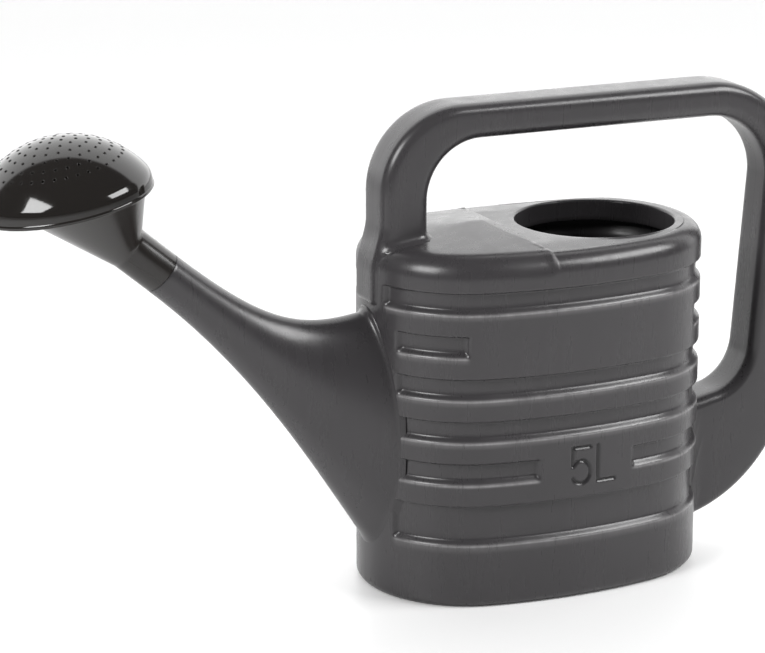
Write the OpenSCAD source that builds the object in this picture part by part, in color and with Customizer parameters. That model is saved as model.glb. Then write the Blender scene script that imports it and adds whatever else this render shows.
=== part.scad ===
// Five litre moulded watering can with a push-on rose.
// Millimetres. +Z is up, the spout points towards -X and the grip's rear leg
// stands at +X. The origin is the middle of the tank's base, on the ground.

/* [Tank] */
// Length of the tank, along X
tank_length = 212; // [190:1:240]
// Width of the tank, along Y
tank_width = 136; // [132:1:150]
// Plan radius of each rounded end of the tank
tank_end_radius = 64; // [58:1:65]
// Height of the flat deck above the ground
deck_z = 209.5; // [206:0.5:214]
// Thickness of the moulded wall
wall = 2.2; // [1.6:0.1:3]
// Radius of the shoulder round the top
shoulder_radius = 12; // [8:0.5:15]
// Height of the ridge of the deck in front of the fill opening
ridge_z = 215.5; // [212:0.5:222]
// Radius round the foot of the tank
foot_radius = 5; // [3:0.5:8]
// Distance of the step behind the ridged deck from the front end of the tank, on the ridge
step_setback = 80.5; // [76:0.5:84]
// How much further back the step lies at the sides
step_sweep = 12; // [4:0.5:16]

/* [Grooves] */
// Top edge of the highest groove
top_groove_z = 188.8; // [186:0.1:190]
// Distance from one groove to the next
groove_pitch = 25.3; // [24:0.1:25.6]
// Height of each groove
groove_height = 13; // [9:0.1:14]
// Depth of each groove
groove_depth = 3; // [2:0.1:4]
// Height of the plain band round the foot
foot_band_height = 38; // [34:0.1:42]
// Height of the broad groove above the foot band
broad_groove_height = 24; // [18:0.1:25]
// Length of the slope from the face of a lower band down into a groove
groove_ease = 3.6; // [1:0.1:4]
// Length of the slope from the face of an upper band into a groove
groove_lip = 1; // [0.5:0.1:1.5]
// Half the width of the plain strip that the spout grows from
spout_strip = 33; // [32:0.5:40]
// Half the width of the plain strip under each leg of the grip
grip_strip = 17.5; // [16.5:0.5:22]
// Front edge of the plain name panel, from the middle of the tank
name_panel_front = -66; // [-76:1:-50]
// Rear edge of the plain name panel
name_panel_rear = 84; // [60:1:90]
// Front edge of the plain capacity panel
capacity_panel_front = -24; // [-34:1:-14]
// Rear edge of the plain capacity panel
capacity_panel_rear = 35; // [24:1:45]

/* [Fill opening] */
// Radius of the fill opening
fill_radius = 47.4; // [40:0.1:48]
// Distance of the fill opening behind the middle of the tank
fill_offset = 42.4; // [40:0.1:44]
// Depth of the collar turned down inside the fill opening
fill_collar_depth = 13; // [8:0.5:20]
// Radius that eases the edge of the fill opening
fill_lip_radius = 1.5; // [0.5:0.1:2]

/* [Grip] */
// Width of the grip, along Y
grip_width = 32; // [28:0.5:33]
// Radius along the edges of the grip
grip_edge_radius = 7; // [5:0.5:9]
// Height of the top of the grip
grip_top_z = 287.5; // [280:0.5:300]
// Thickness of the bar that the hand holds
grip_bar = 20.5; // [18:0.5:24]
// Thickness of the front leg
grip_front_leg = 29; // [24:0.5:32]
// How far the front leg stands back from the tank's end
grip_front_inset = 5.2; // [3:0.1:8]
// How far the rib that runs down from the front leg stands out from the tank's end
grip_rib = 0.8; // [0.4:0.1:2]
// Outer radius of the front corner
grip_front_radius = 50; // [44:1:60]
// Radius inside the front corner
grip_front_bend = 34; // [28:1:40]
// How far the rear leg stands out behind the tank
grip_rear_reach = 68.5; // [64:0.5:76]
// Thickness of the rear leg at its top
grip_rear_leg = 22; // [19:0.5:26]
// Outer radius of the rear corner
grip_rear_radius = 61; // [50:1:66]
// Radius inside the rear corner
grip_rear_bend = 40; // [34:1:44]
// Outer radius of the foot of the rear leg
grip_foot_radius = 92; // [86:1:96]
// Radius inside the foot of the rear leg
grip_foot_bend = 28.5; // [24:0.5:32]
// Height of the ledge where the rear leg joins the tank
grip_ledge_z = 92; // [88:0.5:100]
// Height of the lowest point of the grip, where it joins the tank
grip_foot_z = 15; // [12:0.5:18]

/* [Spout] */
// Height of the middle of the spout's mouth
mouth_z = 204.8; // [195:0.1:215]
// Distance of the spout's mouth in front of the tank's middle
mouth_reach = 230; // [220:0.5:240]
// Slope of the spout's end above the level, in degrees
mouth_angle = 40.5; // [38:0.5:44]
// Outer diameter of the spout's end and of the rose's sleeve
mouth_diameter = 25.3; // [24:0.1:28]
// Height of the top of the spout's root
root_top_z = 170; // [160:0.5:174]
// Height of the bottom of the spout's root
root_bottom_z = 17; // [14:0.5:30]
// Width of the spout's root
root_width = 63; // [56:0.5:64]
// Downward slope of the top of the root, in degrees
root_top_slope = 10.5; // [4:0.5:16]
// Upward slope of the bottom of the root, in degrees
root_bottom_slope = 56; // [50:0.5:60]
// Length of the spigot that the rose pushes onto
spigot_length = 24; // [18:0.5:26]
// Bore of the spigot
spigot_bore = 16.8; // [14:0.1:17.2]

/* [Rose] */
// Wall of the rose's sleeve
sleeve_wall = 2; // [1.6:0.1:2.4]
// Length of the sleeve
sleeve_length = 28; // [26.5:0.5:32]
// Gap between the spigot and the sleeve, on the radius
running_gap = 0.05; // [0.02:0.01:0.1]
// Distance from the spout's end to the middle of the rose's rim
rose_reach = 72.3; // [66:0.5:80]
// Lean of the rose from the upright, in degrees
rose_lean = 10; // [4:0.5:14]
// Radius of the cone's wide end, under the face
cone_radius = 36; // [32:0.5:38]
// How far the cone's wide end is set back towards the can
cone_setback = 9; // [4:0.5:10]
// Depth of the shallow dish between the rim and the cone
dish_depth = 3; // [2:0.1:5]
// Radius of the rose's face, over its skirt
face_radius = 49.5; // [44:0.5:54]
// Height of the domed face above its skirt
face_height = 31; // [26:0.5:36]
// Edge radius of the domed face
face_edge_radius = 11; // [8:0.5:15]
// Height of the skirt that clips over the rim
skirt_height = 4; // [3:0.1:6]
// Wall of the rose
rose_wall = 2; // [1.6:0.1:2.4]
// Diameter of each hole in the face
spray_hole = 1.3; // [0.8:0.1:1.8]
// Distance from one ring of holes to the next, along the dome
spray_pitch = 6.6; // [6:0.1:9]
// Number of rings of holes round the middle hole
spray_rings = 7; // [3:1:7]

/* [Hidden] */
$fn = 96;
body_colour = [0.34, 0.33, 0.33];
rose_colour = [0.07, 0.065, 0.06];
// reach of a cut past the face that it cuts
cut = 1;
// small overlap where a faceted form meets a round one
lap = 0.3;

// The plan is four arcs: two ends, and two bowed sides tangent to them.
end_x = tank_length / 2 - tank_end_radius;
side_radius = (end_x ^ 2 + (tank_width / 2) ^ 2 - tank_end_radius ^ 2)
    / (tank_width - 2 * tank_end_radius);
side_y = side_radius - tank_width / 2;
// the sides are bowed so little that they need more steps than the rest
side_steps = 360;

step_x = step_setback - tank_length / 2;
// flat margin of the deck between the ridged part and the shoulder
gable_margin = 2;
gable_half = tank_end_radius - shoulder_radius - gable_margin;
gable_slope = (ridge_z - deck_z) / gable_half;

// Bottom and top of each groove, from the highest down; the last is the broad one.
GROOVES = concat(
    [for (i = [0 : 4]) let (top = top_groove_z - i * groove_pitch) [top - groove_height, top]],
    [[foot_band_height, foot_band_height + broad_groove_height]]);
NAME_GROOVE = GROOVES[1];
CAPACITY_GROOVE = GROOVES[4];

// ---------- tank ----------

// The end's share of the plan, and the side's. They meet on the line through both centres.
ray = 2 * [end_x, side_y];
module end_share() {
    polygon([[end_x, 0], [end_x, 0] + ray, [2 * tank_length, ray[1]],
        [2 * tank_length, -ray[1]], [end_x + ray[0], -ray[1]]]);
}
module side_share() {
    polygon([[end_x, 0], [end_x, 0] + ray, [-end_x - ray[0], ray[1]], [-end_x, 0]]);
}

// Plan of the tank, set in by inset: two round ends between two bowed sides.
module plan(inset) {
    for (side = [0, 180]) rotate(side) {
        intersection() {
            translate([end_x, 0]) circle(r = tank_end_radius - inset);
            end_share();
        }
        intersection() {
            translate([0, -side_y]) circle(r = side_radius - inset, $fn = side_steps);
            side_share();
        }
    }
}

// Sweeps a section right round the plan. The section's x = 0 is the tank's face.
module sweep_round() {
    for (side = [0, 180]) rotate(side) {
        intersection() {
            translate([end_x, 0, 0]) rotate_extrude()
                translate([tank_end_radius, 0]) children();
            translate([0, 0, -cut]) linear_extrude(deck_z + 2 * cut) end_share();
        }
        intersection() {
            translate([0, -side_y, 0]) rotate_extrude($fn = side_steps)
                translate([side_radius, 0]) children();
            translate([0, 0, -cut]) linear_extrude(deck_z + 2 * cut) side_share();
        }
    }
}

// What rounds off the foot and the shoulder, set in by inset.
module edge_sections(inset) {
    low = foot_radius - inset / 2;
    high = shoulder_radius - inset / 2;
    reach = inset + cut;
    difference() {
        translate([-inset - low, inset - cut]) square([low + reach, low + cut]);
        translate([-inset - low, inset + low]) circle(r = low);
    }
    difference() {
        translate([-inset - high, deck_z - inset - high]) square([high + reach, high + cut]);
        translate([-inset - high, deck_z - inset - high]) circle(r = high);
    }
}

// Ridged cap in front of the fill opening: it falls evenly to both sides, comes round the
// front end as half a cone, and stops at a swept-back step.
module deck_gable(inset) {
    base_z = deck_z - shoulder_radius;
    step = step_x - inset;
    side = step + step_sweep;
    intersection() {
        translate([-end_x, 0, 0]) {
            rotate_extrude(angle = 180, start = 90) gable_section(inset, base_z);
            rotate([90, 0, 90]) linear_extrude(end_x) {
                gable_section(inset, base_z);
                mirror([1, 0]) gable_section(inset, base_z);
            }
        }
        translate([0, 0, base_z]) linear_extrude(ridge_z)
            polygon([[step, 0], [side, tank_width / 2], [side, tank_width],
                [-tank_length, tank_width], [-tank_length, -tank_width],
                [side, -tank_width], [side, -tank_width / 2]]);
    }
}

// Half section of the ridged deck, from its middle out to just past where it dips into
// the flat deck.
module gable_section(inset, base_z) {
    reach = gable_half + gable_margin / 2;
    polygon([[0, base_z], [reach, base_z],
        [reach, ridge_z - inset - gable_slope * reach], [0, ridge_z - inset]]);
}

// Outside of the tank, with its grooves left out, or its inside when set in by the wall.
module tank_form(inset) {
    difference() {
        translate([0, 0, inset]) linear_extrude(deck_z - 2 * inset) plan(inset);
        sweep_round() edge_sections(inset);
    }
    deck_gable(inset);
}

// Section of one groove, cut into a wall whose face is at x = 0. Grown by grow all round.
module groove_section(bottom, top, grow) {
    polygon([
        [cut, bottom - grow], [-grow, bottom - grow],
        [-grow - groove_depth * 0.35, bottom - grow + groove_ease * 0.22],
        [-grow - groove_depth * 0.8, bottom - grow + groove_ease * 0.65],
        [-grow - groove_depth, bottom - grow + groove_ease],
        [-grow - groove_depth, top + grow - groove_lip],
        [-grow - groove_depth * 0.75, top + grow - groove_lip * 0.3],
        [-grow, top + grow], [cut, top + grow]]);
}

// All the grooves' sections, one above another.
module groove_sections(grow) {
    for (g = GROOVES) groove_section(g[0], g[1], grow);
}

// The grooves run round the tank, apart from the plain strips and panels. Grown by grow,
// they make the inside of the wall follow the outside.
module grooves(grow) {
    far = tank_length;
    difference() {
        sweep_round() groove_sections(grow);
        // plain strips behind the spout and under the front leg
        translate([-far, grow - spout_strip, 0])
            cube([far, 2 * (spout_strip - grow), (GROOVES[0][0] + GROOVES[1][1]) / 2]);
        translate([-far, grow - grip_strip, 0]) cube([far, 2 * (grip_strip - grow), deck_z]);
        // plain strip behind the rear leg
        translate([0, grow - grip_strip, 0])
            cube([far, 2 * (grip_strip - grow), (GROOVES[3][0] + GROOVES[4][1]) / 2]);
        // plain panels on both sides
        panel_box(NAME_GROOVE, name_panel_front + grow, name_panel_rear - grow);
        panel_box(CAPACITY_GROOVE, capacity_panel_front + grow, capacity_panel_rear - grow);
    }
}

// Box round one groove, between two distances along the tank.
module panel_box(groove, from_x, to_x) {
    margin = (groove_pitch - groove_height) / 2;
    translate([from_x, -tank_width, groove[0] - margin])
        cube([to_x - from_x, 2 * tank_width, groove[1] - groove[0] + 2 * margin]);
}

// Way through the tank's end wall into the spout: a slot with round ends.
module spout_port() {
    port_half = spout_strip / 2;
    low = root_bottom_z + 2 * port_half;
    high = root_top_z - 2 * port_half;
    translate([-tank_length / 2 - cut, 0, 0]) rotate([90, 0, 90])
        linear_extrude(tank_length / 2 - end_x) {
            for (z = [low, high]) translate([0, z]) circle(r = port_half);
            translate([-port_half, low]) square([2 * port_half, high - low]);
        }
}

module tank() {
    color(body_colour) difference() {
        union() {
            difference() {
                tank_form(0);
                grooves(0);
                difference() {
                    tank_form(wall);
                    grooves(wall);
                }
            }
            // collar turned down inside the fill opening
            translate([fill_offset, 0, deck_z - fill_collar_depth])
                cylinder(r = fill_radius + wall, h = fill_collar_depth - wall / 2);
        }
        translate([fill_offset, 0, deck_z - fill_collar_depth - cut])
            cylinder(r = fill_radius, h = fill_collar_depth + 2 * cut);
        translate([fill_offset, 0, deck_z - fill_lip_radius]) rotate_extrude()
            difference() {
                square([fill_radius + fill_lip_radius, fill_lip_radius + cut]);
                translate([fill_radius + fill_lip_radius, 0]) circle(r = fill_lip_radius);
            }
        spout_port();
    }
}

// ---------- lofts ----------

// Skin over rings of points, closed at both ends.
module skin(rings) {
    count = len(rings[0]);
    last = len(rings) - 1;
    points = [for (ring = rings) each ring];
    sides = [for (i = [0 : last - 1], j = [0 : count - 1])
        let (k = (j + 1) % count, a = i * count, b = a + count)
            each [[a + j, a + k, b + k], [a + j, b + k, b + j]]];
    polyhedron(points, concat(sides,
        [[for (j = [count - 1 : -1 : 0]) j]], [[for (j = [0 : count - 1]) last * count + j]]));
}

// Point on a cubic curve.
function curve(p, t) = (1 - t) ^ 3 * p[0] + 3 * (1 - t) ^ 2 * t * p[1]
    + 3 * (1 - t) * t ^ 2 * p[2] + t ^ 3 * p[3];

// ---------- spout ----------

mouth = [-mouth_reach, mouth_z];
mouth_axis = [-cos(mouth_angle), sin(mouth_angle)];
mouth_up = [sin(mouth_angle), cos(mouth_angle)];
mouth_radius = mouth_diameter / 2;
sleeve_bore = mouth_radius - sleeve_wall;
// the root starts inside the tank's end, whose wall then trims it
root_x = -tank_length / 2 + 8;
root_half_width = root_width / 2;
spout_steps = 18;
SPOUT_TOP = [
    [root_x, root_top_z],
    [root_x, root_top_z] + 45 * [-cos(root_top_slope), -sin(root_top_slope)],
    mouth + mouth_radius * mouth_up - 78 * mouth_axis,
    mouth + mouth_radius * mouth_up];
SPOUT_BOTTOM = [
    [root_x, root_bottom_z],
    [root_x, root_bottom_z] + 68 * [-cos(root_bottom_slope), sin(root_bottom_slope)],
    mouth - mouth_radius * mouth_up - 89 * mouth_axis,
    mouth - mouth_radius * mouth_up];

// One ring of the spout, an oval between its top and bottom outlines.
function spout_ring(t, inset, count) =
    let (
        top = curve(SPOUT_TOP, t),
        bottom = curve(SPOUT_BOTTOM, t),
        middle = (top + bottom) / 2,
        rise = (top - bottom) / 2,
        height = norm(rise),
        width = mouth_radius + (root_half_width - mouth_radius) * (1 - t) ^ 2.4,
        // the end narrows inside to the spigot's bore
        throat = max(0, t - 0.9) * 10 * (mouth_radius - spigot_bore / 2 - wall + lap),
        take = inset > 0 ? inset + throat : 0)
    [for (j = [0 : count - 1])
        let (
            a = 360 * j / count,
            v = (1 - take / height) * sin(a),
            p = middle + rise * v)
        [p[0], (width - take) * cos(a), p[1]]];

module at_mouth(distance) {
    translate([mouth[0], 0, mouth[1]]) rotate([0, -90 + mouth_angle, 0])
        translate([0, 0, distance]) children();
}

module spout() {
    color(body_colour) difference() {
        union() {
            skin([for (i = [0 : spout_steps]) spout_ring(i / spout_steps, 0, 40)]);
            at_mouth(-wall) cylinder(r = sleeve_bore - running_gap, h = spigot_length + wall);
        }
        skin([for (i = [0 : spout_steps]) spout_ring(i / spout_steps, wall, 40)]);
        at_mouth(-wall - cut) cylinder(d = spigot_bore, h = spigot_length + wall + 2 * cut);
        translate([-end_x, 0, 0]) cylinder(r = tank_end_radius, h = deck_z, $fn = 192);
    }
}

// ---------- grip ----------

front_leg_x = -tank_length / 2 + grip_front_inset;
rear_leg_x = tank_length / 2 + grip_rear_reach;
corner_steps = 10;
// The front leg leans out over the shoulder into a rib, which runs down the tank's end to
// the spout. The tank trims both.
rib_x = -tank_length / 2 - grip_rib;
rib_back = rib_x + 2 * grip_edge_radius + 1;
rib_bottom_z = root_top_z + 2.5;
rib_top_z = deck_z - shoulder_radius;
leg_foot_z = ridge_z + 1;
// centres of the arcs of the outer and inner outlines
FRONT_OUT = [front_leg_x + grip_front_radius, grip_top_z - grip_front_radius];
FRONT_IN = [front_leg_x + grip_front_leg + grip_front_bend, grip_top_z - grip_bar - grip_front_bend];
REAR_OUT = [rear_leg_x - grip_rear_radius, grip_top_z - grip_rear_radius];
REAR_IN = [rear_leg_x - grip_rear_leg - grip_rear_bend, grip_top_z - grip_bar - grip_rear_bend];
FOOT_OUT = [rear_leg_x - grip_foot_radius, grip_foot_z + grip_foot_radius];
FOOT_IN = [tank_length / 2 + 10, grip_ledge_z + 3 + grip_foot_bend];

function on_arc(centre, radius, a) = centre + radius * [cos(a), sin(a)];

// Pairs of points: the outer outline and the inner outline, from the rib round to the foot.
GRIP = concat(
    [[[rib_x, rib_bottom_z], [rib_back, rib_bottom_z]],
        [[rib_x, rib_top_z], [rib_back, rib_top_z]],
        [[front_leg_x, leg_foot_z], [front_leg_x + grip_front_leg, leg_foot_z]]],
    [for (i = [0 : corner_steps]) let (a = 180 - 90 * i / corner_steps)
        [on_arc(FRONT_OUT, grip_front_radius, a), on_arc(FRONT_IN, grip_front_bend, a)]],
    [for (i = [0 : corner_steps]) let (a = 90 - 90 * i / corner_steps)
        [on_arc(REAR_OUT, grip_rear_radius, a), on_arc(REAR_IN, grip_rear_bend, a)]],
    [for (i = [0 : corner_steps]) let (a = -80 * i / corner_steps)
        [on_arc(FOOT_OUT, grip_foot_radius, a), on_arc(FOOT_IN, grip_foot_bend, a)]],
    [[[tank_length / 2 - 12, grip_foot_z], [tank_length / 2 - 12, grip_ledge_z - 2]]]);

// One ring of the grip, an oblong with rounded corners between the two outlines.
function grip_ring(pair, inset) =
    let (
        middle = (pair[0] + pair[1]) / 2,
        reach = norm(pair[0] - pair[1]) / 2,
        out = (pair[0] - pair[1]) / (2 * reach),
        edge = grip_edge_radius - inset,
        flat_u = reach - grip_edge_radius,
        flat_y = grip_width / 2 - grip_edge_radius)
    [for (corner = [0 : 3], k = [0 : 4])
        let (
            a = 90 * corner + 22.5 * k,
            u = flat_u * (corner == 0 || corner == 3 ? 1 : -1) + edge * cos(a),
            y = flat_y * (corner < 2 ? 1 : -1) + edge * sin(a),
            p = middle + u * out)
        [p[0], y, p[1]]];

module grip() {
    color(body_colour) difference() {
        skin([for (pair = GRIP) grip_ring(pair, 0)]);
        skin([for (pair = GRIP) grip_ring(pair, wall)]);
        tank_form(0);
    }
}

// ---------- rose ----------

// Puts its children on the rose's own axis, at a distance above the rim's lower edge.
module at_rose(height) {
    at_mouth(rose_reach) rotate([0, 90 - mouth_angle - rose_lean, 0])
        translate([0, 0, height]) children();
}

rim_radius = face_radius - rose_wall - running_gap;
// thickness of the discs that the cone is drawn between
disc = 0.5;

// Oblique cone from the sleeve to its wide end, and the shallow dish out to the rim. The
// inside is the same form, raised by the wall and set in.
module rose_cone(raise, sleeve_end, wide_end, rim_end) {
    hull() {
        at_mouth(sleeve_length - 2) cylinder(r = sleeve_end, h = disc, $fn = 48);
        rose_disc(raise - dish_depth, cone_setback, wide_end);
    }
    hull() {
        rose_disc(raise - dish_depth, cone_setback, wide_end);
        rose_disc(raise - disc, 0, rim_end);
    }
}

// Thin disc square to the rose's axis.
module rose_disc(height, setback, radius) {
    at_rose(height) translate([setback, 0, 0]) cylinder(r = radius, h = disc, $fn = 72);
}

module rose_body() {
    color(rose_colour) difference() {
        union() {
            at_mouth(running_gap)
                cylinder(d = mouth_diameter, h = sleeve_length - running_gap);
            rose_cone(0, mouth_radius + lap, cone_radius, face_radius - lap);
            at_rose(-disc) cylinder(r = rim_radius, h = skirt_height + disc);
        }
        at_mouth(-cut) cylinder(r = sleeve_bore, h = spigot_length + cut + running_gap);
        at_mouth(0) cylinder(d = spigot_bore, h = sleeve_length);
        rose_cone(rose_wall, sleeve_bore, cone_radius - rose_wall / 2,
            rim_radius - rose_wall - lap);
        at_rose(rose_wall - disc / 2)
            cylinder(r = rim_radius - rose_wall, h = skirt_height + cut);
    }
}

// Half section of the dome: a broad crown arc tangent to a tighter edge arc.
module dome_section(inset) {
    radius = face_radius - inset;
    height = face_height - inset;
    edge = face_edge_radius - inset;
    crown = ((radius - edge) ^ 2 + height ^ 2 - edge ^ 2) / (2 * (height - edge));
    lean = atan2(radius - edge, crown - height);
    intersection() {
        translate([0, height - crown]) circle(r = crown, $fn = 240);
        translate([0, height - crown])
            polygon([[0, 0], [0, 2 * crown], [2 * crown * sin(lean), 2 * crown * cos(lean)]]);
        square([radius, height + cut]);
    }
    intersection() {
        translate([radius - edge, 0]) circle(r = edge);
        square([radius, height]);
    }
    square([radius - edge, edge * cos(lean)]);
}

face_crown = ((face_radius - face_edge_radius) ^ 2 + face_height ^ 2 - face_edge_radius ^ 2)
    / (2 * (face_height - face_edge_radius));

module rose_face() {
    ring_angle = spray_pitch / face_crown * 180 / PI;
    color(rose_colour) at_rose(0) difference() {
        union() {
            translate([0, 0, skirt_height]) rotate_extrude() dome_section(0);
            cylinder(r = face_radius, h = skirt_height);
        }
        translate([0, 0, skirt_height]) rotate_extrude() dome_section(rose_wall);
        translate([0, 0, -cut]) cylinder(r = rim_radius + running_gap, h = skirt_height + cut);
        // spray holes, in rings round the middle one
        for (ring = [0 : spray_rings - 1], i = [0 : max(1, 6 * ring) - 1])
            translate([0, 0, skirt_height + face_height - face_crown])
                rotate([0, 0, 60 * i / max(1, ring)]) rotate([0, ring * ring_angle, 0])
                    translate([0, 0, face_crown - rose_wall - cut])
                        cylinder(d = spray_hole, h = rose_wall + 2 * cut, $fn = 16);
    }
}

tank();
spout();
grip();
rose_body();
rose_face();
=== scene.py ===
import math

import bpy
import numpy as np
from mathutils import Matrix, Vector


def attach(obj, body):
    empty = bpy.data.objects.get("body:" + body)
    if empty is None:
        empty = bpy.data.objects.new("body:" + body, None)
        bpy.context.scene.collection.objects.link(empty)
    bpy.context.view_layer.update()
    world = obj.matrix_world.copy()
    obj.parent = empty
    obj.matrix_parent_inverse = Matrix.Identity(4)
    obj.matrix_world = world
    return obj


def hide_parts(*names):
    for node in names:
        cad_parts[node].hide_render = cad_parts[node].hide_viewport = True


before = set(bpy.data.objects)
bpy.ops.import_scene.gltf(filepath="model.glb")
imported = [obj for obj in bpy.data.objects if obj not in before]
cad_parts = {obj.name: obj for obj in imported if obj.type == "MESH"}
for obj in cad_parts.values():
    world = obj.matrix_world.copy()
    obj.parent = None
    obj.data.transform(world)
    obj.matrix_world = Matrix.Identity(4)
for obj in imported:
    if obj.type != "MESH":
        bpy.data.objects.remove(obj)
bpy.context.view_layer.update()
scene = bpy.context.scene

# ---------- sizes, in millimetres unless they say otherwise ----------

MM = 0.001
# farther than any distance that is looked for
FAR = 99.0

# tank
END_X = 42.0
END_RADIUS = 64.0
SIDE_RADIUS = 286.5
SIDE_Y = 218.5
HALF_WIDTH = 68.0
DECK_Z = 209.5
RIDGE_Z = 215.5
RIDGE_SLOPE = 0.12
RIDGE_SOFTNESS = 1.2
WALL = 2.2
# the step in the deck: where it crosses the middle, how far its ends sweep back, its half
# width, and the low bead in front of it
STEP_X = -25.5
STEP_SWEEP = 12.0
STEP_HALF = 0.9
BEAD_HEIGHT = 0.55
BEAD_AHEAD = 1.1
BEAD_WIDTH = 0.6
# how steeply the rear deck falls at its sides, and how wide it stays flat
REAR_FALL = 0.09
REAR_FLAT = 42.0
FOOT = 5.0
SHOULDER_FRONT = 14.0
SHOULDER_REAR = 11.0
SHOULDER_MIDDLE = 12.0
BASE_HOLLOW = 1.5
MOUTH_X = 42.4
MOUTH_RADIUS = 47.4
MOUTH_LIP = 1.5
COLLAR_Z = 196.5
COLLAR_EDGE = 0.6

# grooves: bottom and top of each, from the highest down; the last is the broad one
TOP_GROOVE_Z = 188.8
GROOVE_PITCH = 25.3
GROOVE_HEIGHT = 13.0
GROOVES = [(TOP_GROOVE_Z - GROOVE_PITCH * i - GROOVE_HEIGHT, TOP_GROOVE_Z - GROOVE_PITCH * i)
           for i in range(5)] + [(38.0, 62.0)]
NAME_GROOVE = 1
CAPACITY_GROOVE = 4
GROOVE_DEPTH = 3.0
# length of a groove's easy lower slope, of its tight upper lip and of its run-out at an end,
# and how far the first two reach past its edges
GROOVE_EASE = 4.2
GROOVE_LIP = 1.5
GROOVE_END = 3.0
BELOW_GROOVE = 0.4
ABOVE_GROOVE = 0.3
# half widths of the plain strips behind the spout and the rear leg, and the ends of the
# plain panels on the sides
SPOUT_STRIP = 28.5
SPOUT_STRIP_LOW = 26.0
GRIP_STRIP = 19.0
NAME_PANEL = (-66.0, 84.0)
CAPACITY_PANEL = (-24.0, 35.0)

# pale rubbed brows, part wear and part painted highlight along each groove's brow and the
# step's bead: their place and height under a groove, how strongly the bead is painted pale,
# and where that starts
BROW_BELOW = 0.3
BROW_HEIGHT = 0.8
BEAD_WEAR_AND_HIGHLIGHT = 1.5
BEAD_FOOT = 199.0

# engraved capacity mark: its depth, half the width of its strokes, the width of their
# soft edge, and its box along and up the side
MARK_DEPTH = 1.1
MARK_HALF = 1.25
MARK_EDGE = 0.7
MARK_BOX = (-7.5, 26.0, 67.0, 95.0)
MARK_ROW_GAP = 0.62


def bowl(cx, cz, rx, rz, start, end, steps):
    """Points on an oval arc, between two angles in degrees."""
    angles = np.radians(np.linspace(start, end, steps))
    return [(cx + rx * math.cos(a), cz + rz * math.sin(a)) for a in angles]


MARK_STROKES = [
    [(7.0, 92.0), (-4.3, 92.0), (-4.6, 81.0)] + bowl(1.0, 77.1, 6.0, 7.0, 146, -150, 22),
    [(12.2, 92.2), (12.2, 70.4), (23.4, 70.4)],
]


# ---------- small tools ----------


def ease(t):
    """Smooth step from 0 to 1."""
    t = np.clip(t, 0.0, 1.0)
    return t * t * (3.0 - 2.0 * t)


def mix(a, b, t):
    """The value a share t of the way from a to b."""
    return a + (b - a) * t


def clear_selection():
    """Leaves edit mode and deselects everything."""
    if bpy.context.object is not None and bpy.context.object.mode != "OBJECT":
        bpy.ops.object.mode_set(mode="OBJECT")
    bpy.ops.object.select_all(action="DESELECT")


def take(piece):
    """Makes piece the only selected object, and the active one."""
    clear_selection()
    piece.select_set(True)
    bpy.context.view_layer.objects.active = piece


def rows_to_piece(name, rows, material, close_start=True, close_end=True, marks=None):
    """Skin over rows of points, given in millimetres, each row a closed loop. Each end is
    closed with a fan to the middle of its row. marks are values kept with the points."""
    count = len(rows[0])
    points = np.concatenate([np.asarray(r, float) for r in rows])
    faces = []
    for i in range(len(rows) - 1):
        low, high = i * count, (i + 1) * count
        faces += [(low + j, low + (j + 1) % count, high + (j + 1) % count, high + j)
                  for j in range(count)]
    if close_start:
        points = np.vstack([points, np.asarray(rows[0]).mean(0)])
        c = len(points) - 1
        faces += [(c, (j + 1) % count, j) for j in range(count)]
    if close_end:
        points = np.vstack([points, np.asarray(rows[-1]).mean(0)])
        c, base = len(points) - 1, (len(rows) - 1) * count
        faces += [(c, base + j, base + (j + 1) % count) for j in range(count)]
    mesh = bpy.data.meshes.new(name)
    mesh.from_pydata((points * MM).tolist(), [], faces)
    mesh.update()
    for label, values in (marks or {}).items():
        kept = mesh.attributes.new(label, "FLOAT", "POINT")
        flat = np.zeros(len(points))
        flat[:len(rows) * count] = np.concatenate(values)
        kept.data.foreach_set("value", flat)
    if signed_volume(mesh) < 0:
        mesh.flip_normals()
    piece = bpy.data.objects.new(name, mesh)
    scene.collection.objects.link(piece)
    mesh.materials.append(material)
    mesh.shade_smooth()
    return piece


def signed_volume(mesh):
    """Volume inside a closed mesh, negative when its faces point inwards."""
    mesh.calc_loop_triangles()
    tris = np.array([t.vertices for t in mesh.loop_triangles])
    co = np.array([v.co for v in mesh.vertices])
    a, b, c = co[tris[:, 0]], co[tris[:, 1]], co[tris[:, 2]]
    return float(np.einsum("ij,ij->i", a, np.cross(b, c)).sum() / 6.0)


# ---------- materials ----------

LINE_SHADE = (0.55, 0.54, 0.53, 1.0)
# pale colour of rubbed wear, which also paints highlight along the groove brows and the step's
# bead
WEAR_AND_HIGHLIGHT_COLOUR = (0.42, 0.41, 0.415, 1.0)
SUNK_SHADE = (0.4, 0.4, 0.4, 1.0)


def node(tree, kind, **values):
    """A new node with the given socket values and settings."""
    made = tree.nodes.new(kind)
    for key, value in values.items():
        if key in made.inputs:
            made.inputs[key].default_value = value
        else:
            setattr(made, key, value)
    return made


def map_range(tree, low, high, start, end, **values):
    """A Map Range node that turns low to high into start to end."""
    made = node(tree, "ShaderNodeMapRange", **values)
    for name, value in zip(("From Min", "From Max", "To Min", "To Max"), (low, high, start, end)):
        made.inputs[name].default_value = value
    return made


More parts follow.
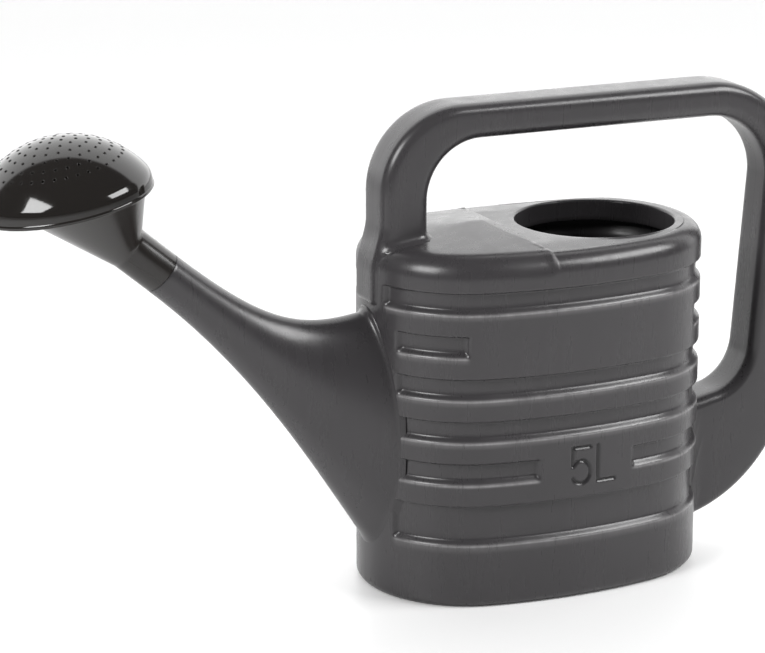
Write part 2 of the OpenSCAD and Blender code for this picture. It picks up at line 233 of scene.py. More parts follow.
def grain_group():
    """Fine moulded grain, slow cloudiness and faint streaks of rubbing, from a position."""
    tree = bpy.data.node_groups.new("Moulded grain", "ShaderNodeTree")
    face = tree.interface
    face.new_socket("Position", in_out="INPUT", socket_type="NodeSocketVector")
    for name, value in (("Grain scale", 1400.0), ("Cloud scale", 14.0), ("Streak scale", 90.0)):
        face.new_socket(name, in_out="INPUT", socket_type="NodeSocketFloat").default_value = value
    for name in ("Grain", "Cloud", "Streak"):
        face.new_socket(name, in_out="OUTPUT", socket_type="NodeSocketFloat")
    ins, outs = tree.nodes.new("NodeGroupInput"), tree.nodes.new("NodeGroupOutput")
    link = tree.links.new
    grain = node(tree, "ShaderNodeTexNoise", Detail=3.0, Roughness=0.6)
    cloud = node(tree, "ShaderNodeTexNoise", Detail=4.0, Roughness=0.55)
    stretch = node(tree, "ShaderNodeVectorMath", operation="MULTIPLY")
    stretch.inputs[1].default_value = (1.0, 1.0, 0.12)
    streak = node(tree, "ShaderNodeTexNoise", Detail=5.0, Roughness=0.7)
    for tex, name in ((grain, "Grain"), (cloud, "Cloud"), (streak, "Streak")):
        link(ins.outputs[name + " scale"], tex.inputs["Scale"])
        link(tex.outputs["Fac"], outs.inputs[name])
    link(ins.outputs["Position"], grain.inputs["Vector"])
    link(ins.outputs["Position"], cloud.inputs["Vector"])
    link(ins.outputs["Position"], stretch.inputs[0])
    link(stretch.outputs["Vector"], streak.inputs["Vector"])
    return tree


def line_group():
    """Mask of the thin parting line where the two halves of the mould meet."""
    tree = bpy.data.node_groups.new("Parting line", "ShaderNodeTree")
    face = tree.interface
    face.new_socket("Position", in_out="INPUT", socket_type="NodeSocketVector")
    face.new_socket("Half width", in_out="INPUT", socket_type="NodeSocketFloat")
    face.new_socket("Mask", in_out="OUTPUT", socket_type="NodeSocketFloat")
    ins, outs = tree.nodes.new("NodeGroupInput"), tree.nodes.new("NodeGroupOutput")
    link = tree.links.new
    split = tree.nodes.new("ShaderNodeSeparateXYZ")
    size = node(tree, "ShaderNodeMath", operation="ABSOLUTE")
    ratio = node(tree, "ShaderNodeMath", operation="DIVIDE")
    fall = map_range(tree, 0.3, 1.0, 1.0, 0.0, interpolation_type="SMOOTHSTEP")
    link(ins.outputs["Position"], split.inputs[0])
    link(split.outputs["Y"], size.inputs[0])
    link(size.outputs[0], ratio.inputs[0])
    link(ins.outputs["Half width"], ratio.inputs[1])
    link(ratio.outputs[0], fall.inputs["Value"])
    link(fall.outputs["Result"], outs.inputs["Mask"])
    return tree


GRAIN = grain_group()
LINE = line_group()


def moulded_plastic(name, dark, light, rough, grain_depth, grain_scale, line=0.0, wear_and_painted_light=False):
    """Moulded plastic whose colour, roughness and surface vary as the real one's do. line is
    the half width of its parting line, and the last flag adds the tank's pale rubbed brows, part
    wear and part painted highlight, and painted shade in the mark's sunk strokes."""
    material = bpy.data.materials.new(name)
    material.use_nodes = True
    tree = material.node_tree
    link = tree.links.new
    shader = tree.nodes["Principled BSDF"]
    shader.inputs["IOR"].default_value = 1.5
    place = tree.nodes.new("ShaderNodeTexCoord")
    grain = node(tree, "ShaderNodeGroup", node_tree=GRAIN)
    grain.inputs["Grain scale"].default_value = grain_scale
    link(place.outputs["Object"], grain.inputs["Position"])
    tint = node(tree, "ShaderNodeMix", data_type="RGBA")
    tint.inputs["A"].default_value = (*dark, 1.0)
    tint.inputs["B"].default_value = (*light, 1.0)
    link(grain.outputs["Cloud"], tint.inputs["Factor"])
    colour = tint.outputs["Result"]
    spread = map_range(tree, 0.35, 0.7, *rough)
    link(grain.outputs["Streak"], spread.inputs["Value"])
    link(spread.outputs["Result"], shader.inputs["Roughness"])
    height = grain.outputs["Grain"]
    if line:
        seam = node(tree, "ShaderNodeGroup", node_tree=LINE)
        seam.inputs["Half width"].default_value = line
        link(place.outputs["Object"], seam.inputs["Position"])
        shade = node(tree, "ShaderNodeMix", data_type="RGBA", blend_type="MULTIPLY")
        shade.inputs["B"].default_value = LINE_SHADE
        link(seam.outputs["Mask"], shade.inputs["Factor"])
        link(colour, shade.inputs["A"])
        colour = shade.outputs["Result"]
    # pale rubbed wear that also paints highlight along the groove brows and the step's bead, then
    # painted shade in the mark's strokes
    if wear_and_painted_light:
        worn = node(tree, "ShaderNodeAttribute", attribute_name="wear_and_painted_highlight")
        patchy = node(tree, "ShaderNodeMath", operation="MULTIPLY", use_clamp=True)
        link(worn.outputs["Fac"], patchy.inputs[0])
        link(grain.outputs["Streak"], patchy.inputs[1])
        pale = node(tree, "ShaderNodeMix", data_type="RGBA")
        pale.inputs["B"].default_value = WEAR_AND_HIGHLIGHT_COLOUR
        link(patchy.outputs[0], pale.inputs["Factor"])
        link(colour, pale.inputs["A"])
        # painted shade darkening the engraved mark's sunk strokes
        low = node(tree, "ShaderNodeAttribute", attribute_name="sunk")
        deep = node(tree, "ShaderNodeMix", data_type="RGBA", blend_type="MULTIPLY")
        deep.inputs["B"].default_value = SUNK_SHADE
        link(low.outputs["Fac"], deep.inputs["Factor"])
        link(pale.outputs["Result"], deep.inputs["A"])
        colour = deep.outputs["Result"]
    link(colour, shader.inputs["Base Color"])
    bump = node(tree, "ShaderNodeBump", Strength=1.0, Distance=grain_depth)
    link(height, bump.inputs["Height"])
    link(bump.outputs["Normal"], shader.inputs["Normal"])
    return material


CAN_PLASTIC = moulded_plastic(
    "satin grey plastic", (0.036, 0.034, 0.036), (0.048, 0.045, 0.048), (0.25, 0.34),
    0.00001, 1300.0, line=0.0004, wear_and_painted_light=True)
ROSE_PLASTIC = moulded_plastic(
    "gloss black plastic", (0.010, 0.009, 0.0085), (0.016, 0.014, 0.0125), (0.06, 0.13),
    0.000004, 700.0)
SLEEVE_PLASTIC = moulded_plastic(
    "worn black plastic", (0.012, 0.010, 0.009), (0.022, 0.019, 0.017), (0.16, 0.26),
    0.000008, 900.0)


# ---------- tank ----------


def step_line(y):
    """Where the step in the deck is, across the tank."""
    return STEP_X + STEP_SWEEP * np.abs(y) / HALF_WIDTH


def front_share(x, y):
    """1 in front of the step in the deck, 0 behind it."""
    return ease((step_line(y) - x + STEP_HALF) / (2 * STEP_HALF))


def bead_share(x, y):
    """1 along the top of the bead in front of the step, falling to 0 beside it."""
    return np.exp(-((step_line(y) - BEAD_AHEAD - x) / BEAD_WIDTH) ** 2)


def ridge_level(x, y):
    """Height of the front deck, which falls like a low roof from the middle line."""
    out = np.where(x < -END_X, np.hypot(x + END_X, y), np.abs(y))
    soft = np.sqrt(out * out + RIDGE_SOFTNESS ** 2) - RIDGE_SOFTNESS
    return RIDGE_Z - RIDGE_SLOPE * soft


def deck_level(x, y):
    """Height of the deck's skin, in front of the step and behind it."""
    rear = DECK_Z - REAR_FALL * np.maximum(np.abs(y) - REAR_FLAT, 0.0)
    return mix(rear, ridge_level(x, y), front_share(x, y)) + BEAD_HEIGHT * bead_share(x, y)


class Columns:
    """Upright lines round the tank's plan: each has the centre and radius of its arc and
    its direction. They stand closer where the surface changes quickly."""

    GAP = 4.2
    FINE_GAP = 1.0
    STEP_GAP = 0.6
    MARK_GAP = 0.72
    # fine points on an end's arc and on a side's, from which the columns are picked
    END_POINTS = 9000
    SIDE_POINTS = 11000

    def __init__(self):
        lean = math.atan2(SIDE_Y, END_X)
        front = np.linspace(math.pi, math.pi - lean, self.END_POINTS)
        side = np.linspace(math.pi - lean, lean, self.SIDE_POINTS)[1:]
        rear = np.linspace(lean, 0.0, self.END_POINTS)[1:]
        cx = np.concatenate([front * 0 - END_X, side * 0, rear * 0 + END_X])
        cy = np.concatenate([front * 0, side * 0 - SIDE_Y, rear * 0])
        radius = np.concatenate([front * 0 + END_RADIUS, side * 0 + SIDE_RADIUS,
                                 rear * 0 + END_RADIUS])
        angle = np.concatenate([front, side, rear])
        x, y = cx + radius * np.cos(angle), cy + radius * np.sin(angle)
        density = np.full(len(x), 1 / self.GAP)

        def closer(away, reach, spacing):
            near = np.abs(away) < reach
            density[near] = np.maximum(density[near], 1 / spacing)

        for panel in (NAME_PANEL, CAPACITY_PANEL):
            closer(x - panel[0] + 1, 3.2, self.FINE_GAP)
            closer(x - panel[1] - 1, 3.2, self.FINE_GAP)
        for strip in (SPOUT_STRIP, SPOUT_STRIP_LOW, GRIP_STRIP):
            closer(np.where(x < 0, y - strip - 1.5, FAR), 2.6, self.FINE_GAP)
        closer(np.where(x > 0, y - GRIP_STRIP - 1, FAR), 3.2, self.FINE_GAP)
        closer(x - step_line(y), 2.4, self.STEP_GAP)
        middle = (MARK_BOX[0] + MARK_BOX[1]) / 2
        closer(x - middle, (MARK_BOX[1] - MARK_BOX[0]) / 2, self.MARK_GAP)
        along = np.concatenate([[0], np.cumsum(np.hypot(np.diff(x), np.diff(y)))])
        total = np.concatenate([[0], np.cumsum(0.5 * (density[1:] + density[:-1])
                                               * np.diff(along))])
        picks = np.interp(np.linspace(0, total[-1], int(total[-1]) + 2), total,
                          np.arange(len(x))).round().astype(int)
        half = [cx[picks], cy[picks], radius[picks], angle[picks]]
        back = [half[0][-2:0:-1], -half[1][-2:0:-1], half[2][-2:0:-1], -half[3][-2:0:-1]]
        self.cx, self.cy, self.radius, self.angle = (
            np.concatenate(pair) for pair in zip(half, back))
        self.ux, self.uy = np.cos(self.angle), np.sin(self.angle)
        self.x, self.y = self.at(0.0)

    def at(self, inset):
        """Plan points, set in from the outline."""
        reach = self.radius - inset
        return self.cx + reach * self.ux, self.cy + reach * self.uy

    def ring(self, inset, z):
        """A row round the tank, set in from the outline, at one height or one for each."""
        x, y = self.at(inset)
        return np.stack([x, y, z + 0 * x], 1)


def groove_profile(z, bottom, top):
    """Share of the full depth at a height: a long easy lower slope and a tight lip."""
    return (ease((z - bottom + BELOW_GROOVE) / GROOVE_EASE)
            * ease((top + ABOVE_GROOVE - z) / GROOVE_LIP))


def groove_reach(columns, index):
    """Share of the full depth in each column, less where a groove stops at a plain strip
    or a panel."""
    x, y = columns.x, np.abs(columns.y)
    strip = (GRIP_STRIP, SPOUT_STRIP, SPOUT_STRIP_LOW)[min(index, 1) + (index > 4)]
    share = np.where(x < 0, ease((y - strip) / GROOVE_END), 1.0)
    if index > 3:
        share = share * np.where(x > 0, ease((y - GRIP_STRIP) / GROOVE_END), 1.0)
    for panel, at in ((NAME_PANEL, NAME_GROOVE), (CAPACITY_PANEL, CAPACITY_GROOVE)):
        if index == at:
            share = share * ease(np.maximum(panel[0] - x, x - panel[1]) / GROOVE_END)
    return share


def mark_depth(columns, z):
    """Depth of the engraved capacity mark, on both sides, at one height."""
    depth = np.zeros(len(columns.x))
    if not MARK_BOX[2] < z < MARK_BOX[3]:
        return depth
    middle = sum(CAPACITY_PANEL) / 2
    u = np.where(columns.y < 0, columns.x, 2 * middle - columns.x)
    near = (np.abs(columns.cy) > 0) & (u > MARK_BOX[0]) & (u < MARK_BOX[1])
    u = u[near]
    away = np.full(len(u), FAR)
    for stroke in MARK_STROKES:
        for (x0, z0), (x1, z1) in zip(stroke, stroke[1:]):
            dx, dz = x1 - x0, z1 - z0
            t = np.clip(((u - x0) * dx + (z - z0) * dz) / (dx * dx + dz * dz), 0, 1)
            away = np.minimum(away, np.hypot(u - x0 - t * dx, z - z0 - t * dz))
    depth[near] = MARK_DEPTH * ease((MARK_HALF - away) / MARK_EDGE)
    return depth


def wall_levels():
    """Heights of the wall's rows, close together at the grooves' edges and the mark."""
    slope = (-1.2, -0.4, 0.1, 0.6, 1.1, 1.6, 2.1, 2.6, 3.1, 3.8)
    lip = (-2.2, -1.2, -0.9, -0.6, -0.3, 0.0, 0.3, 1.0)
    levels = [FOOT + 4, 14, 19, 24, 29, 33, 66.0, 70.0, 193.5]
    for bottom, top in GROOVES:
        levels += [bottom + d for d in slope] + [top + d for d in lip]
        floor_height = top - bottom + lip[0] - slope[-1]
        shares = (0.33, 0.66) if floor_height < 9 else (0.2, 0.4, 0.6, 0.8)
        levels += [bottom + slope[-1] + floor_height * f for f in shares]
    for low, high in zip(GROOVES[1:], GROOVES):
        levels += [mix(low[1], high[0], f) for f in (0.3, 0.5, 0.7)]
    levels = [z for z in levels if not MARK_BOX[2] < z < MARK_BOX[3]]
    levels += list(np.arange(MARK_BOX[2], MARK_BOX[3], MARK_ROW_GAP))
    levels = sorted(levels)
    return [z for z, after in zip(levels, levels[1:] + [math.inf]) if after - z > 0.15]


def shoulder(columns, inset):
    """Radius, end angle and centre height of the shoulder in each column, set in."""
    x, y = columns.at(SHOULDER_MIDDLE)
    share = front_share(x, y)
    radius = mix(SHOULDER_REAR, SHOULDER_FRONT, share)
    end = math.pi / 2 - share * math.atan(RIDGE_SLOPE)
    x, y = columns.at(radius * (1 - np.cos(end)))
    centre = deck_level(x, y) - radius * np.sin(end)
    return radius - inset, end, centre


def deck_rows(start, circle, inset, fine):
    """Rows across the deck, from the shoulder to a circle round the filling mouth. They
    crowd where each column crosses the step, and fine gives their shares up to there."""
    turn = np.arctan2(start[:, 1], start[:, 0] - MOUTH_X)
    goal = np.stack([MOUTH_X + circle * np.cos(turn), circle * np.sin(turn)], 1)
    span = goal - start[:, :2]
    length = np.hypot(span[:, 0], span[:, 1])
    sweep = STEP_SWEEP / HALF_WIDTH
    ahead = step_line(start[:, 1]) - start[:, 0]
    over = ahead / (span[:, 0] - sweep * (np.abs(goal[:, 1]) - np.abs(start[:, 1])) + 1e-9)
    over = np.where(ahead > 0, over, 0.0)
    cross = np.clip(np.sqrt(over ** 2 + 0.08 ** 2), 0.0, 0.9)
    near = np.minimum(0.03, 0.45 / length)
    shares = [np.minimum(cross * f, cross - 3.2 * near) for f in fine]
    shares += [cross + near * k for k in (-2, -1, 0, 1, 2)]
    late = cross + 3.2 * near
    shares += [mix(late, 1.0, f) for f in (0.0, 0.12, 0.3, 0.5, 0.7, 0.86)]
    rows = []
    for share in shares:
        x, y = start[:, 0] + span[:, 0] * share, start[:, 1] + span[:, 1] * share
        rows.append(np.stack([x, y, deck_level(x, y) - inset], 1))
    return rows, turn


def mouth_ring(turn, radius, z):
    """A row round the filling mouth, with a point for each column."""
    return np.stack([MOUTH_X + radius * np.cos(turn), radius * np.sin(turn), z + 0 * turn], 1)


def make_tank():
    """The tank as one skin: base, wall, shoulder, deck, filling mouth and its collar, and
    then the inside."""
    columns = Columns()
    reach = [groove_reach(columns, i) for i in range(len(GROOVES))]

    def hollow(z, mark=True):
        """How far the wall is sunk in each column at one height."""
        depth = sum(GROOVE_DEPTH * groove_profile(z, *g) * r for g, r in zip(GROOVES, reach))
        return depth + (mark_depth(columns, z) if mark else 0.0)

    base = ((22, BASE_HOLLOW), (14, BASE_HOLLOW), (12.5, 1.1), (11.2, 0.3), (10.2, 0.0),
            (7.0, 0.0))
    rows = [columns.ring(inset, z) for inset, z in base]
    for a in np.radians(np.linspace(0, 90, 9)):
        rows.append(columns.ring(FOOT * (1 - math.sin(a)), FOOT * (1 - math.cos(a))))
    levels = wall_levels()
    first_level = len(rows)
    rows += [columns.ring(hollow(z), z) for z in levels]
    radius, end, centre = shoulder(columns, 0.0)
    rows += [columns.ring(radius * (1 - np.cos(f * end)), centre + radius * np.sin(f * end))
             for f in np.linspace(0, 1, 14)]
    fine = (0.06, 0.14, 0.24, 0.36, 0.5, 0.64, 0.78, 0.9)
    across, turn = deck_rows(rows[-1], MOUTH_RADIUS + MOUTH_LIP, 0.0, fine)
    rows += across
    for a in np.radians(np.linspace(0, 90, 6)):
        rows.append(mouth_ring(turn, MOUTH_RADIUS + MOUTH_LIP * (1 - math.sin(a)),
                               DECK_Z - MOUTH_LIP * (1 - math.cos(a))))
    collar = [(0.0, 204.0), (0.0, 200.0), (0.0, COLLAR_Z + COLLAR_EDGE),
              (COLLAR_EDGE, COLLAR_Z), (WALL - COLLAR_EDGE, COLLAR_Z),
              (WALL, COLLAR_Z + COLLAR_EDGE), (WALL, DECK_Z - WALL)]
    rows += [mouth_ring(turn, MOUTH_RADIUS + out, z) for out, z in collar]
    outer_count = len(rows)
    # the same surface again on the inside of the wall, from the top down
    radius, end, centre = shoulder(columns, WALL)
    inner = [columns.ring(WALL + radius * (1 - np.cos(f * end)),
                          centre + radius * np.sin(f * end))
             for f in np.linspace(0, 1, 5)]
    across, _ = deck_rows(inner[-1], MOUTH_RADIUS + WALL, WALL, (0.3, 0.65))
    rows += across[::-1] + inner[::-1]
    inside = [z for b, t in GROOVES for z in (t + 1.0, t - 1.4, b + 3.8, b - 0.8)]
    inside = sorted([FOOT + WALL, 20.0] + inside, reverse=True)
    rows += [columns.ring(WALL + hollow(z, False), z) for z in inside]
    for inset, z in ((WALL + 1.0, WALL + 2.0), (WALL + 3.0, WALL + 0.6), (9.0, WALL),
                     (12.0, WALL + 1.2), (22.0, WALL + BASE_HOLLOW)):
        rows.append(columns.ring(inset, z))
    # pale rubbed brows of the grooves and the step, part wear and part painted highlight, and
    # painted shade in the strokes of the mark
    wear_and_painted_highlight = [np.zeros(len(row)) for row in rows]
    sunk = [np.zeros(len(row)) for row in rows]
    for i, z in enumerate(levels, first_level):
        wear_and_painted_highlight[i] = sum(np.exp(-((z - bottom + BROW_BELOW) / BROW_HEIGHT) ** 2) * share
                        for (bottom, _), share in zip(GROOVES, reach))
        sunk[i] = mark_depth(columns, z) / MARK_DEPTH
    # the step's bead painted pale, part wear and part painted highlight
    for i in range(first_level + len(levels), outer_count):
        x, y, z = rows[i].T
        wear_and_painted_highlight[i] = BEAD_WEAR_AND_HIGHLIGHT * bead_share(x, y) * ease((z - BEAD_FOOT) / 6.0)
    return rows_to_piece("can_tank", rows, CAN_PLASTIC, marks={"wear_and_painted_highlight": wear_and_painted_highlight, "sunk": sunk})


def skin_distance(points, front):
    """How far points lie outside the tank's skin, and the skin's direction there, near its
    front end or its rear end. Below zero is inside."""
    x, y, z = points.T
    centre = -END_X if front else END_X
    radius = SHOULDER_FRONT if front else SHOULDER_REAR
    slope = RIDGE_SLOPE if front else 0.0
    top = RIDGE_Z if front else DECK_Z
    lean = math.pi / 2 - math.atan(slope)
    rho = np.maximum(np.hypot(x - centre, y), 1e-6)
    mid = END_RADIUS - radius
    low = top - slope * (mid + radius * math.cos(lean)) - radius * math.sin(lean)
    up = math.cos(math.atan(slope))
    deck = (z - top + slope * rho) * up
    wall = rho - END_RADIUS
    corner = np.hypot(rho - mid, z - low)
    on_corner = (rho > mid + slope * (z - low)) & (z > low)
    far = np.where(on_corner, corner - radius, np.maximum(deck, wall))
    nr = np.where(on_corner, (rho - mid) / np.maximum(corner, 1e-6),
                  np.where(deck > wall, slope * up, 1.0))
    nz = np.where(on_corner, (z - low) / np.maximum(corner, 1e-6),
                  np.where(deck > wall, up, 0.0))
    return far, np.stack([nr * (x - centre) / rho, nr * y / rho, nz], 1)


def run_into_tank(rows, fillets, front, depth):
    """Rounds a loft out into the tank's skin with a fillet of the given radii, and keeps
    what goes inside it within the wall, no deeper than depth."""
    grid = np.array(rows)
    along = np.gradient(grid, axis=0)
    out = np.cross(along, np.roll(grid, -1, 1) - np.roll(grid, 1, 1))
    out /= np.maximum(np.linalg.norm(out, axis=2, keepdims=True), 1e-9)
    middle = grid.mean(1, keepdims=True)
    out *= np.sign(((grid - middle) * out).sum(2).mean())
    shape = grid.shape
    flat = grid.reshape(-1, 3)
    far, skin = skin_distance(flat, front)
    far, skin = far.reshape(shape[:2]), skin.reshape(shape)
    radius = np.asarray(fillets, float).reshape(len(rows), -1)
    turn = np.clip(1 - far / radius, 0, 1)
    push = radius * (1 - np.sqrt(1 - turn ** 2))
    push *= 1 - np.clip((out * skin).sum(2), 0, 1)
    grid = grid + out * push[:, :, None]
    for _ in range(3):
        far, skin = skin_distance(grid.reshape(-1, 3), front)
        grid = grid + (skin * np.maximum(-depth - far, 0)[:, None]).reshape(shape)
    return list(grid)


# ---------- spout ----------

MOUTH_AT = np.array([-230.0, 204.8])
MOUTH_ANGLE = math.radians(40.5)
TIP_RADIUS = 12.65
AXIS = np.array([-math.cos(MOUTH_ANGLE), math.sin(MOUTH_ANGLE)])
ACROSS = np.array([math.sin(MOUTH_ANGLE), math.cos(MOUTH_ANGLE)])
ROOT_X = -98.0
ROOT_TOP = 170.0
ROOT_BOTTOM = 17.0
ROOT_HALF = 31.5
# how quickly the spout narrows from its root
NARROWING = 2.4
SPIGOT_RADIUS = 10.6
SPIGOT_LENGTH = 24.0
SPOUT_SPOKES = 72
# fillet at the spout's sides, what its top and bottom add to it, and how far it goes in
SPOUT_FILLET = 1.2
SPOUT_FILLET_MORE = 3.0
SPOUT_DEPTH = 3.3


def cubic(points, t):
    """Point on a curve with four control points."""
    p = [np.asarray(q, float) for q in points]
    return ((1 - t) ** 3 * p[0] + 3 * (1 - t) ** 2 * t * p[1]
            + 3 * (1 - t) * t ** 2 * p[2] + t ** 3 * p[3])


def slope_point(start, reach, degrees, sign):
    """Control point that makes a curve leave start forwards, at an angle up or down."""
    a = math.radians(degrees)
    return (start[0] - reach * math.cos(a), start[1] + sign * reach * math.sin(a))


TOP_LINE = [(ROOT_X, ROOT_TOP), slope_point((ROOT_X, ROOT_TOP), 45, 10.5, -1),
            MOUTH_AT + TIP_RADIUS * ACROSS - 78 * AXIS, MOUTH_AT + TIP_RADIUS * ACROSS]
LOW_LINE = [(ROOT_X, ROOT_BOTTOM), slope_point((ROOT_X, ROOT_BOTTOM), 68, 56, 1),
            MOUTH_AT - TIP_RADIUS * ACROSS - 89 * AXIS, MOUTH_AT - TIP_RADIUS * ACROSS]


def spout_ring(t, count=SPOUT_SPOKES):
    """Section of the spout, a share t of the way from its root to its mouth."""
    top, low = cubic(TOP_LINE, t), cubic(LOW_LINE, t)
    middle, rise = (top + low) / 2, (top - low) / 2
    width = TIP_RADIUS + (ROOT_HALF - TIP_RADIUS) * max(0.0, 1 - t) ** NARROWING
    a = 2 * math.pi * np.arange(count) / count
    return np.stack([middle[0] + rise[0] * np.sin(a), width * np.cos(a),
                     middle[1] + rise[1] * np.sin(a)], 1)


def tip_ring(radius, reach, count=SPOUT_SPOKES):
    """Round section square to the mouth's axis, a reach in front of the mouth."""
    a = 2 * math.pi * np.arange(count) / count
    middle = MOUTH_AT + reach * AXIS
    return np.stack([middle[0] + radius * ACROSS[0] * np.sin(a), radius * np.cos(a),
                     middle[1] + radius * ACROSS[1] * np.sin(a)], 1)


def make_spout():
    """The spout, from inside the tank's wall to the end of its spigot."""
    shares = list(np.linspace(-0.03, 0.12, 44)) + list(np.linspace(0.13, 0.992, 52))
    rows = [spout_ring(t) for t in shares]
    turns = 2 * math.pi * np.arange(SPOUT_SPOKES) / SPOUT_SPOKES
    fillets = np.tile(SPOUT_FILLET + SPOUT_FILLET_MORE * np.sin(turns) ** 2, (len(rows), 1))
    rows = run_into_tank(rows, fillets, True, SPOUT_DEPTH)
    rows += [tip_ring(TIP_RADIUS, -0.5), tip_ring(TIP_RADIUS - 0.12, -0.15),
             tip_ring(TIP_RADIUS - 0.45, 0.0), tip_ring(SPIGOT_RADIUS, 0.0),
             tip_ring(SPIGOT_RADIUS, SPIGOT_LENGTH - 0.6),
             tip_ring(SPIGOT_RADIUS - 0.6, SPIGOT_LENGTH)]
    return rows_to_piece("can_spout", rows, CAN_PLASTIC)


# ---------- grip ----------

GRIP_HALF = 16.0
GRIP_EDGE = 7.0
GRIP_DEPTH = 1.9
LEG_X = -100.8
LEG_BACK = -71.8
RIB_X = -106.8
RIB_BACK = -91.8
RIB_END = 172.5
# heights between which the rib's front and back swell out into the leg
FRONT_SWELL = (193.0, 222.0)
BACK_SWELL = (190.0, 206.0)
# how far the rib's lower end sinks into the tank, and over what height
RIB_SINK = 2.4
RIB_SINK_HEIGHT = 5.0
# fillets of the rib and of the leg above it, and of the rear leg
RIB_FILLET = 0.9
LEG_FILLET = 5.0
REAR_FILLET = 3.2
# centre and radius of each arc of the grip, seen from the side, outside and inside
FRONT_OUT = ((-50.8, 237.5), 50.0)
FRONT_IN = ((-37.8, 233.0), 34.0)
REAR_OUT = ((113.5, 226.5), 61.0)
REAR_IN = ((112.5, 227.0), 40.0)
FOOT_OUT = ((82.5, 107.0), 92.0)
FOOT_IN = ((116.0, 123.5), 28.5)
FOOT_TURN = (-2.0, -80.0)
# where the rear leg ends inside the tank: its low and its high edge
REAR_END = (np.array([94.0, 15.0]), np.array([94.0, 90.0]))


def arc_pair(out, inner, degrees):
    """Outer and inner edge of the grip at an angle round its arcs."""
    a = math.radians(degrees)
    return [np.array([c[0] + r * math.cos(a), c[1] + r * math.sin(a)]) for c, r in (out, inner)]


def share_between(span, value):
    """Smooth share of the way that value has come from one end of span to the other."""
    return float(ease((value - span[0]) / (span[1] - span[0])))


def leg_pair(z):
    """Front and back of the front leg at a height. Below the shoulder it is the rib."""
    front = mix(RIB_X, LEG_X, share_between(FRONT_SWELL, z))
    back = mix(RIB_BACK, LEG_BACK, share_between(BACK_SWELL, z))
    sink = RIB_SINK * share_between((RIB_END + RIB_SINK_HEIGHT, RIB_END), z)
    return [np.array([front + sink, z]), np.array([back, z])]


def grip_ring(pair, edge=GRIP_EDGE, steps=8):
    """Rounded box section between the two edges of a pair, each corner in steps points."""
    middle, half = (pair[0] + pair[1]) / 2, np.linalg.norm(pair[0] - pair[1]) / 2
    out = (pair[0] - pair[1]) / (2 * half)
    flat_u, flat_y = half - edge, GRIP_HALF - edge
    uv = []
    for corner in range(4):
        su, sy = (1 if corner in (0, 3) else -1), (1 if corner < 2 else -1)
        for k in range(steps):
            a = math.radians(90 * corner + 90 * k / (steps - 1))
            uv.append((flat_u * su + edge * math.cos(a), flat_y * sy + edge * math.sin(a)))
        # the flat from here to the next corner
        last, a = uv[-1], math.radians(90 * (corner + 1))
        goal = (flat_u * (1 if (corner + 1) % 4 in (0, 3) else -1) + edge * math.cos(a),
                flat_y * (1 if (corner + 1) % 4 < 2 else -1) + edge * math.sin(a))
        uv += [(mix(last[0], goal[0], f), mix(last[1], goal[1], f)) for f in (0.25, 0.5, 0.75)]
    return np.array([[middle[0] + u * out[0], y, middle[1] + u * out[1]] for u, y in uv])


def make_grip():
    """The grip in one loop: the rib and the front leg, the bar, and the rear leg."""
    levels = [RIB_END + 1.0 * i for i in range(16)] + list(np.arange(188.5, 221.0, 0.55))
    levels += [223.0, 226.0, 229.5, 233.5]
    fillets = [mix(RIB_FILLET, LEG_FILLET, share_between((198.0, 207.0), z)) for z in levels]
    leg = run_into_tank([grip_ring(leg_pair(z)) for z in levels], fillets, True, GRIP_DEPTH)
    bar = [arc_pair(FRONT_OUT, FRONT_IN, a) for a in np.linspace(180, 90, 25)]
    bar += [arc_pair(REAR_OUT, REAR_IN, a) for a in np.linspace(90, 0, 25)]
    foot = [arc_pair(FOOT_OUT, FOOT_IN, a) for a in np.linspace(*FOOT_TURN, 36)]
    edges = list(zip(foot[-1], REAR_END))
    foot += [[mix(start, end, f) for start, end in edges] for f in np.linspace(0.03, 1.0, 44)]
    foot = run_into_tank([grip_ring(p) for p in foot], np.full(len(foot), REAR_FILLET), False,
                         GRIP_DEPTH)
    return rows_to_piece("can_grip", leg + [grip_ring(p) for p in bar] + foot, CAN_PLASTIC)


# ---------- rose ----------

# how far the rose's rim is from the mouth along its axis, and how far the face leans
ROSE_REACH = 72.3
ROSE_LEAN = math.radians(10)
FACE_RADIUS = 49.5
FACE_HEIGHT = 31.0
FACE_EDGE = 11.0
SKIRT = 4.0
ROSE_WALL = 2.0
CONE_RADIUS = 36.0
CONE_SETBACK = 9.0
DISH = 3.0
SLEEVE_LENGTH = 28.0
# clear space between pieces that fit into each other
RUNNING_GAP = 0.05
HOLE_RADIUS = 0.65
HOLE_PITCH = 6.6
HOLE_RINGS = 7
HOLE_RIM_RADIUS = 0.98
HOLE_RIM_THICKNESS = 0.2
# the sharpest bends that are shaded as smooth
FACE_SMOOTH = math.radians(32)
BODY_SMOOTH = math.radians(28)
# radius of the crown's sphere, which meets the tighter edge without a crease
CROWN = (((FACE_RADIUS - FACE_EDGE) ** 2 + FACE_HEIGHT ** 2 - FACE_EDGE ** 2)
         / (2 * (FACE_HEIGHT - FACE_EDGE)))

AT_MOUTH = (Matrix.Translation((MOUTH_AT[0], 0, MOUTH_AT[1]))
            @ Matrix.Rotation(MOUTH_ANGLE - math.pi / 2, 4, "Y"))
AT_ROSE = (AT_MOUTH @ Matrix.Translation((0, 0, ROSE_REACH))
           @ Matrix.Rotation(math.pi / 2 - MOUTH_ANGLE - ROSE_LEAN, 4, "Y"))


def settle(piece, place):
    """Puts a piece made about the origin, in millimetres, in its place in metres."""
    piece.data.transform(Matrix.Scale(MM, 4) @ place)
    piece.data.update()


